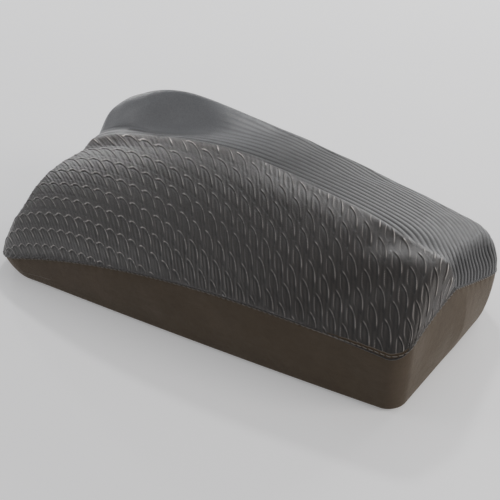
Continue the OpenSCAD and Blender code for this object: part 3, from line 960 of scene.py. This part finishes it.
def knit_top_panel(swelling, material):
    base, columns = cover_grid(step=0.45, end_steps=104, rows=425)
    along_pad, up, crease = cloth_lengths(base, columns)
    from_edge = edge_distance(base)
    base = base + swelling.over_grid(base) * smooth(from_edge / 7)[..., None]
    base = full_lobe(base, from_edge, up - crease)
    normals = grid_normals(base)
    knit = knit_values(along_pad, up, crease, from_edge)
    rise = LEAF_RISE * knit["relief"] + RIDGE_RISE * knit["ridge"] + knit_folds(along_pad, up, from_edge)
    outer = base + normals * rise[..., None]
    rim = border(*rise.shape)
    edge = outer.reshape(-1, 3)[rim]
    out = outward(edge)
    rings = [edge + out * a - UP * b for a, b in ((0.3, 0.1), (0.38, 0.4), (0.15, 0.7), (-0.6, 0.7))]
    inner = (base - normals * PANEL_CLOTH)[::GRID_RATIO, ::GRID_RATIO]
    points, faces = shell(outer, rings, inner)
    piece = make_mesh("knit_top_panel", points, faces, material)
    unseen = np.zeros(inner.size // 3)
    for name, values in knit.items():
        at_lip = np.tile(values.ravel()[rim], len(rings))
        set_values(piece, name, np.concatenate([values.ravel(), at_lip, unseen]))
    return piece


FOOT_ROUND = 2.4
FOOT_STEPS = 6
SLIT_ROWS = 6
BAND_SWELL = 0.8
PROW_SWELL = 2.6
RIPPLE_RISE = 0.3
PUCKER_RISE = 0.13
PUCKER_PITCH = 6.3
HEM_TURN = 0.35


def wall_heights(height, slit_low, slit_high):
    """Heights of the band's rows above its rounded foot, and the number of rows below the slit."""
    scale = np.minimum(1, height / 20)
    foot = FOOT_ROUND * scale
    low = [mix(foot, slit_low * height, t) for t in np.linspace(0, 0.9, 10)]
    low += [slit_low * height - 0.6 * scale, slit_low * height - 0.25 * scale]
    middle = [mix(slit_low, slit_high, t) * height for t in np.linspace(0, 1, SLIT_ROWS + 1)]
    high = [slit_high * height + 0.25 * scale, slit_high * height + 0.6 * scale]
    high += [mix(slit_high * height, height - 0.3 * scale, t) for t in np.linspace(0.1, 1, 16)]
    return np.stack(low + middle + high), len(low)


def band_rise(points, height, run, x_zip, inset):
    """How far each point of the band's wall stands out, and how free it is to swell: not round the zip."""
    up = points[..., 2] - BASE_Z
    v = up / height
    off_slit = abs(points[..., 2] - ZIP_HEIGHT) - SLIT_HALF
    far_wall = smooth((points[..., 1] - 40) / 12)
    beside_zip = np.maximum(np.maximum(-x_zip, x_zip - ZIP_LENGTH), 0) + np.maximum(off_slit, 0)
    calm = 1 - far_wall * (1 - smooth((beside_zip - 4) / 12))
    swell = 4 * v * (1 - v)
    # The high end stands out in a blunt prow
    prow = np.clip(1 - abs(points[..., 1] - 2) / 42, 0, 1) ** 1.2 * smooth((points[..., 0] - 112) / 10)
    ripple = RIPPLE_RISE * soft_noise(run / 24 + 0 * v, points[..., 2] / 11, 3) * swell
    pucker = PUCKER_RISE * np.sin(run * math.tau / PUCKER_PITCH + 2 * soft_noise(run / 9, 0 * run, 8))
    pucker = pucker * np.exp(-(((height - up) / 3.2) ** 2))
    turned_in = HEM_TURN * np.exp(-((np.maximum(off_slit, 0) / HEM_TURN) ** 2)) * far_wall
    turned_in = turned_in * (x_zip > -1) * (x_zip < ZIP_LENGTH + 1)
    rise = calm * (swell * (BAND_SWELL + PROW_SWELL * prow) + ripple + pucker) - inset - turned_in
    return rise, calm * smooth(swell * 1.5)


def plain_side_band(swelling, material):
    slit_rise = SLIT_HALF * math.cos(WALL_LEAN)
    far_height = FAR_SEAM - BASE_Z
    slit = [(ZIP_HEIGHT - BASE_Z + side * slit_rise) / far_height for side in (-1, 1)]
    middle = (ZIP_HEIGHT - BASE_Z) / far_height
    seam, foot = bowed(wall_plan(0, 1.0, middle)), bowed(wall_plan(TAPER, 1.0, middle))
    height = seam_z(seam[:, 0], seam[:, 1]) - BASE_Z
    walls, first_slit = wall_heights(height, *slit)
    r = FOOT_ROUND * np.minimum(1, height / 20)
    arc = np.linspace(0, math.pi / 2, FOOT_STEPS, endpoint=False)[:, None]
    heights = np.concatenate([r * (1 - np.cos(arc)), walls])
    inset = np.concatenate([r * (1 - np.sin(arc)), np.zeros_like(walls)])
    inset[-2:] += np.array([[0.05], [0.25]])
    rows, n = heights.shape
    plan = foot + (seam - foot) * (heights / height)[..., None]
    points = np.concatenate([plan, heights[..., None] + BASE_Z], 2)
    normal = outward(foot + (seam - foot) * 0.5)
    normal[:, 2] = -math.tan(WALL_LEAN)
    normal /= np.linalg.norm(normal, axis=1, keepdims=True)
    run = lengths_along(seam)
    x_zip = points[..., 0] - ZIP_START
    on_far_wall = points[..., 1] > 46
    rise, free = band_rise(points, height, run, x_zip, inset)
    points = points + normal * rise[..., None]
    wrap = 2 * GRID_RATIO
    wide = np.concatenate([points[:, -wrap:], points, points[:, :wrap]], axis=1)
    points = points + swelling.over_grid(wide)[:, wrap:-wrap] * free[..., None]

    index = np.arange(rows * n).reshape(rows, n)
    beside = np.roll(index, -1, axis=1)
    quads = np.stack([index[:-1], beside[:-1], beside[1:], index[1:]], -1)
    centre_x = (x_zip[:-1] + np.roll(x_zip, -1, axis=1)[:-1]) / 2
    row = np.arange(rows - 1)[:, None] - FOOT_STEPS - first_slit
    in_slit = (row >= 0) & (row < SLIT_ROWS) & on_far_wall[:-1]
    in_slit = in_slit & (centre_x > 0) & (centre_x < ZIP_LENGTH)
    piece = make_mesh("plain_side_band", points, quads[~in_slit].reshape(-1, 4), material)
    lengths = np.append(run, run[-1] + np.linalg.norm(seam[0] - seam[-1]))
    corners = np.stack([lengths[:-1], lengths[1:], lengths[1:], lengths[:-1]], -1)
    corners = np.broadcast_to(corners, (rows - 1, n, 4))
    set_values(piece, "wall_along", corners[~in_slit], "CORNER")
    set_values(piece, "wall_up", points[..., 2])
    thicken(piece, BAND_CLOTH)
    return piece


def thicken(piece, thickness):
    solid = piece.modifiers.new("thickness", "SOLIDIFY")
    solid.thickness = thickness * MM
    solid.offset = -1
    solid.use_even_offset = False


CHANNEL_DEPTH = 2.2
WEBBING_RIB = (1.25, 0.07)


def strap_boxes():
    """Plan boxes of the two strap channels: low x, high x, low y, high y."""
    side, free_end, sewn_end = 0.6, 5, 4
    found = []
    for node in ("front_strap", "rear_strap"):
        low, high = box_mm(node)
        found.append((low[0] - side, high[0] + side, low[1] - free_end, high[1] + sewn_end))
    return found


def cloth_base_panel(material):
    lean, step = TAPER + FOOT_ROUND * 0.7, 0.8
    low_x = -(LOW_HALF - lean) + 0.01
    high_x = HALF_LENGTH - lean - 0.01
    count = GRID_RATIO * int((high_x - low_x) / step / GRID_RATIO)
    x = np.linspace(low_x, high_x, count + 1)[:, None]
    v = np.linspace(0, 1, GRID_RATIO * 18 + 1)[None]
    y = mix(edge_y(x, -1, 0, lean), edge_y(x, 1, 0, lean), v)
    plan = bowed(np.stack([x + 0 * y, y], -1).reshape(-1, 2)).reshape(*y.shape, 2)
    x, y = plan[..., 0], plan[..., 1]
    flat = np.stack([x, y, np.full_like(x, BASE_Z)], -1)
    lift = 0.9 * (1 - smooth(edge_distance(flat) / 2.2))
    for x0, x1, y0, y1 in strap_boxes():
        gap = np.maximum(np.maximum(x0 - x, x - x1), np.maximum(y0 - y, y - y1))
        lift = np.maximum(lift, CHANNEL_DEPTH * smooth(0.5 - gap / 1.2))
        lift = lift + 0.25 * np.exp(-(((gap - 2.2) / 0.6) ** 2))
    lift = lift + 0.12 * (1 + soft_noise(x / 14, y / 12, 21))
    under = flat + UP * lift[..., None]
    edge = under.reshape(-1, 3)[border(*under.shape[:2])]
    rings = [edge + outward(edge) * 0.3 + UP * 0.9, edge + UP * 1.6]
    top = flat[::GRID_RATIO, ::GRID_RATIO] + UP * 3.1
    points, faces = shell(under, rings, top)
    return make_mesh("cloth_base_panel", points, [f[::-1] for f in faces], material)


def layer(name, material, depth, floor_z, pocket):
    """Closed solid of all that lies a depth under the cover, with a pocket for the zip in its far wall."""
    points, _ = cover_grid(step=2.6, end_steps=16, rows=65, depth=depth)
    edge = points.reshape(-1, 3)[border(*points.shape[:2])]
    shrink = np.array([(HALF_LENGTH - TAPER) / HALF_LENGTH, (FAR - TAPER) / FAR])
    foot = np.concatenate([edge[:, :2] * shrink, np.full((len(edge), 1), floor_z)], 1)
    foot[:, 2] = np.minimum(floor_z, edge[:, 2] - 0.3)
    rings = [mix(edge, foot, t) for t in np.linspace(0, 1, 15)[1:]]
    for ring in rings:
        x, z = ring[:, 0] - ZIP_START, ring[:, 2] - ZIP_HEIGHT
        room = smooth((x + 3) / 3) * smooth((ZIP_LENGTH + 3 - x) / 3) * smooth((6 - abs(z)) / 2)
        ring[:, 1] -= pocket * room * (ring[:, 1] > 40)
    floor = points.copy()
    floor[..., :2] *= shrink
    floor[..., 2] = np.minimum(floor_z, np.maximum(points[..., 2] - 0.4, 1.5))
    made, faces = shell(points, rings, floor, ratio=1)
    return make_mesh(name, made, faces, material)


def ribbon(name, place, width, length, thick, material, rib, round_end=0.0, relief=None, steps=(0.3, 0.6)):
    """Closed woven strip. place(a, b, c) puts a across, b along and c through it into the pad's frame.

    rib is the ribs' pitch and height, and steps are the grid's, across and along."""
    cols = max(6, int(width / steps[0]))
    rows = max(6, int(length / steps[1]))
    a = np.linspace(-1, 1, cols + 1)
    b = np.linspace(0, length, rows + 1)[:, None]
    half = np.full_like(b, width / 2)
    if round_end:
        d = np.clip(b, 0, round_end)
        half = width / 2 - round_end + np.sqrt(round_end**2 - (round_end - d) ** 2)
    body = np.sqrt(np.clip(1.02 - abs(a) ** 14, 0, 1)) * np.sqrt(
        np.clip(1.02 - abs(2 * b / length - 1) ** (length * 2.2), 0, 1))
    x = a * half
    ribs = rib[1] * np.cos(x * math.tau / rib[0])
    height = np.zeros_like(x) if relief is None else relief(x, b + 0 * x)
    top = (thick / 2 - rib[1]) * body + ribs * body
    bottom = -top
    top = top + height * body
    xs = np.concatenate([x, x[:, ::-1]], 1)
    cs = np.concatenate([top, bottom[:, ::-1]], 1)
    values = np.concatenate([height, 0 * height], 1)
    n = xs.shape[1]
    points = place(xs, b + 0 * xs, cs)
    index = np.arange(n * (rows + 1)).reshape(rows + 1, n)
    following = np.roll(index, -1, axis=1)
    faces = np.stack([index[:-1], following[:-1], following[1:], index[1:]], -1).reshape(-1, 4).tolist()
    faces += [index[0][::-1].tolist(), index[-1].tolist()]
    piece = make_mesh(name, points, faces, material)
    if relief is not None:
        peak = max(float(abs(height).max()), 1e-6)
        set_values(piece, "relief", values / peak)
    return piece


def flat_strip(name, low, high, material, rising=True, rib=(1, 0), **shape):
    """Woven strip that fills a flat box, with its face up or down."""
    centre, side = (low + high) / 2, 1 if rising else -1

    def place(a, b, c):
        return np.stack([centre[0] + side * a, low[1] + b, centre[2] + side * c], -1)
    return ribbon(name, place, *(high - low), material, rib, **shape)


def hooks(x, y):
    """Rows of little hooks."""
    pitch = 1.0
    row = np.floor(y / pitch)
    return 0.16 * (np.sin(math.pi * (x / pitch + row / 2)) ** 2 * np.sin(math.pi * y / pitch) ** 2) ** 2


def loops(x, y):
    """Matted loops."""
    return 0.05 + 0.06 * soft_noise(x / 0.55, y / 0.55, 41, 12) + 0.03 * soft_noise(x / 2.5, y / 2.5, 42)


def block_path(low_x, high_x, low_y, high_y, z):
    """Closed rectangle of points, a millimetre apart."""
    corners = [(low_x, low_y), (high_x, low_y), (high_x, high_y), (low_x, high_y), (low_x, low_y)]
    path = []
    for (xa, ya), (xb, yb) in zip(corners[:-1], corners[1:]):
        n = max(2, int(math.hypot(xb - xa, yb - ya)))
        path += [(mix(xa, xb, k / n), mix(ya, yb, k / n), z) for k in range(n)]
    return np.array(path)


def attach(piece, body, slot_name, *nodes):
    """Puts a piece on its body, and hides the CAD nodes that it replaces; the slot name is not used."""
    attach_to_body(piece, body)
    if nodes:
        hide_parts(*nodes)


def finish_node(node, material, bevel=0.0):
    """Gives a CAD node its material, and rounds its sharp edges."""
    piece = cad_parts[node]
    piece.data.materials.clear()
    piece.data.materials.append(material)
    if bevel:
        weld = piece.modifiers.new("weld", "WELD")
        weld.merge_threshold = 1e-6
        rounding = piece.modifiers.new("bevel", "BEVEL")
        rounding.width = bevel * MM
        rounding.segments = 3
        rounding.limit_method = "ANGLE"
        rounding.angle_limit = math.radians(40)
        rounding.harden_normals = True


def build_cover(swelling):
    panel = knit_top_panel(swelling, knit_cloth())
    attach(panel, "pad", "knit_cloth", "top_panel")
    band = plain_side_band(swelling, band_cloth())
    attach(band, "pad", "band_cloth", "side_band")
    base = cloth_base_panel(base_cloth())
    attach(base, "pad", "base_cloth", "base_panel")


def build_foam():
    core = layer("shaped_foam_core", foam(), depth=2.7, floor_z=4.8, pocket=3.4)
    attach(core, "pad", "foam", "foam_core")
    sleeve = layer("thin_foam_liner", liner_cloth(), depth=1.9, floor_z=4.1, pocket=2.8)
    thicken(sleeve, 0.5)
    attach(sleeve, "pad", "liner_cloth", "foam_liner")


def build_seams():
    seam_thread = thread("seam_thread", (0.12, 0.108, 0.095))
    plan = bowed(wall_plan(0, 1.0, 0.5))
    path = np.concatenate([plan, seam_z(plan[:, 0], plan[:, 1])[:, None]], 1)
    out = outward(path)
    path = path + out * 0.3 - UP * 0.95
    row = stitches("seam_stitches", path, out, seam_thread, radius=0.2, length=2.4, gap=0.5, slant=0.8)
    attach(row, "pad", "thread", "seam_thread")
    foot = bowed(wall_plan(TAPER, 1.0, 0.5))
    inner = foot - outward(foot)[:, :2] * (FOOT_ROUND * 0.8)
    path = np.concatenate([inner, np.full((len(inner), 1), BASE_Z + 0.1)], 1)
    down = np.tile(-UP, (len(path), 1))
    row = stitches("base_seam_stitches", path, down, seam_thread, radius=0.24, length=3.2, gap=0.8, slant=0.8)
    attach(row, "pad", "thread", "base_seam_thread")


TAPE_WIDTH = 6.4
TAPE_GAP = 0.6
TAPE_DEPTH = 1.22


def build_zip():
    tape = ribbed_webbing("tape_cloth", (0.022, 0.021, 0.021), "X", "Z", 0.9)
    for side, node in ((1, "zip_tape_upper"), (-1, "zip_tape_lower")):
        low, high = box_mm(node)

        def place(a, b, c, low=low[0], middle=side * (TAPE_GAP + TAPE_WIDTH / 2)):
            return on_wall(b + low - ZIP_START, c - TAPE_DEPTH, a + middle)
        weave = ribbon(node + "_weave", place, TAPE_WIDTH, high[0] - low[0], 0.5, tape, rib=(0.9, 0.03))
        attach(weave, "pad", "tape_cloth", node)
    margin = 1.7
    ring = block_path(-margin, ZIP_LENGTH + margin, -SLIT_HALF - margin, SLIT_HALF + margin, 0)
    path = on_wall(ring[:, 0], 0.06, ring[:, 1])
    out = on_wall(ring[:, 0], 1.06, ring[:, 1]) - path
    zip_thread = thread("zip_thread", (0.10, 0.09, 0.08))
    row = stitches("zip_stitches", path, out, zip_thread, radius=0.22, length=2.2, gap=0.6)
    attach(row, "pad", "thread")
    plastic, metal = moulded_plastic(), lacquered_metal()
    for node in ("zip_teeth_upper", "zip_teeth_lower"):
        finish_node(node, plastic, bevel=0.28)
    for node, bevel in (("zip_stops", 0.25), ("zip_slider", 0.18), ("zip_pull", 0.22)):
        finish_node(node, metal, bevel)
    finish_node("zip_pull_pin", metal)


def strap_pieces(name, webbing, hook, loop, strap_thread):
    """One strap with its hook patch, and the loop patch on the base that it grips."""
    body = name + "_strap"
    low, high = box_mm(body)
    strap = flat_strip(body + "_webbing", low, high, webbing, rib=WEBBING_RIB, round_end=4.0)
    attach(strap, body, "strap_webbing", body)
    low, high = box_mm(body + "_hook")
    patch = flat_strip(name + "_hook_field", low, high, hook, relief=hooks, steps=(0.2, 0.2))
    attach(patch, body, "hook_tape", body + "_hook")
    path = block_path(low[0] + 1, high[0] - 1, low[1] + 1, high[1] - 1, high[2] + 0.02)
    low, high = box_mm(name + "_loop_patch")
    patch = flat_strip(name + "_loop_field", low, high, loop, rising=False, relief=loops, steps=(0.3, 0.3))
    attach(patch, "pad", "loop_tape", name + "_loop_patch")
    up = np.tile(UP, (len(path), 1))
    row = stitches(name + "_hook_stitches", path, up, strap_thread, radius=0.17, length=2.0, gap=0.7)
    attach(row, body, "thread")


def bar_tack(low, high):
    """Paths of a zigzag of thread in a flat box."""
    paths = []
    turns = int((high[0] - low[0]) / 1.1)
    for k in range(turns):
        start, end = mix(low, high, k / turns), mix(low, high, (k + 1) / turns)
        start[1], end[1] = (low[1], high[1]) if k % 2 else (high[1], low[1])
        paths.append(mix(start, end, np.linspace(0, 1, 5)[:, None]))
    return paths


def build_straps():
    webbing = ribbed_webbing("strap_webbing", (0.016, 0.016, 0.017), "Y", "X", WEBBING_RIB[0])
    strap_thread = thread("strap_thread", (0.05, 0.05, 0.052))
    hook, loop = hook_tape(), loop_tape()
    for name in ("front", "rear"):
        strap_pieces(name, webbing, hook, loop, strap_thread)
    hems, tacks = [], []
    low, high = box_mm("strap_anchors")
    for name in ("front", "rear"):
        low[0], high[0] = [corner[0] for corner in box_mm(name + "_strap")]
        hems.append(flat_strip(name + "_hem", low, high, webbing, rib=WEBBING_RIB))
        z = low[2] + 0.06
        start, end = (low[0] + 1.5, low[1] + 3.5, z), (high[0] - 1.5, high[1] - 0.6, z)
        tacks += bar_tack(np.array(start), np.array(end))
    attach(joined("strap_hems", hems), "pad", "strap_webbing", "strap_anchors")
    points, faces = sweep(tacks, 0.17)
    attach(make_mesh("strap_bartacks", points, faces, strap_thread), "pad", "thread")


def joined(name, pieces):
    """One object from several, with their meshes together."""
    mesh = bmesh.new()
    for piece in pieces:
        mesh.from_mesh(piece.data)
    data = bpy.data.meshes.new(name)
    mesh.to_mesh(data)
    mesh.free()
    data.materials.append(pieces[0].data.materials[0])
    for piece in pieces:
        bpy.data.objects.remove(piece)
    return linked(name, data)


# ---------- floor, light and camera ----------

def area_light(name, energy, size, place, aim, colour=(1, 1, 1)):
    """Soft light: watts, then its two sides, its place and what it points at, in metres."""
    data = bpy.data.lights.new(name, "AREA")
    data.energy = energy
    data.shape = "RECTANGLE"
    data.size, data.size_y = size
    data.color = colour
    light = linked(name, data)
    light.location = place
    light.rotation_euler = (Vector(aim) - Vector(place)).to_track_quat("-Z", "Y").to_euler()


def build_studio():
    mesh = bmesh.new()
    bmesh.ops.create_grid(mesh, x_segments=40, y_segments=40, size=4)
    data = bpy.data.meshes.new("floor")
    mesh.to_mesh(data)
    mesh.free()
    data.materials.append(pale_floor())
    linked("floor", data)
    world = bpy.data.worlds.new("studio")
    world.use_nodes = True
    sky = world.node_tree.nodes["Background"].inputs
    sky["Color"].default_value = (0.96, 0.97, 1, 1)
    sky["Strength"].default_value = 0.45
    bpy.context.scene.world = world
    area_light("back_light", 9, (0.9, 0.3), (0.1, 1.2, 0.42), (0, 0, 0.05))
    area_light("crease_light", 5, (0.14, 0.14), (-0.39, 0.81, 0.99), (0, 0, 0.05))
    area_light("low_end_light", 1.6, (0.06, 0.06), (-1.0, 0.72, 0.34), (-0.1, 0, 0.05))
    area_light("front_fill", 3, (0.6, 0.5), (-1.1, -0.5, 0.55), (0, 0, 0.03))
    area_light("end_fill", 6, (0.5, 0.5), (1.0, 0.1, 0.55), (0.1, 0, 0.03), (1, 0.95, 0.9))


def build_camera():
    azimuth, elevation, roll = math.radians(34.04), math.radians(31.0), math.radians(-1.5)
    aim, distance = Vector((0.0024, 0.0088, 0.018)), 0.631
    level = math.cos(elevation)
    back = Vector((math.sin(azimuth) * level, -math.cos(azimuth) * level, math.sin(elevation)))
    data = bpy.data.cameras.new("camera")
    data.lens = 83.6
    data.clip_start, data.clip_end = 0.01, 50
    camera = linked("camera", data)
    camera.location = aim + back * distance
    turn = (-back).to_track_quat("-Z", "Y").to_matrix() @ Matrix.Rotation(roll, 3, "Z")
    camera.rotation_euler = turn.to_euler()
    bpy.context.scene.camera = camera


build_camera()
swelling = Swelling()
build_cover(swelling)
build_foam()
build_seams()
build_zip()
build_straps()
finish_node("grip_dots", grip_rubber(), bevel=0.3)
build_studio()
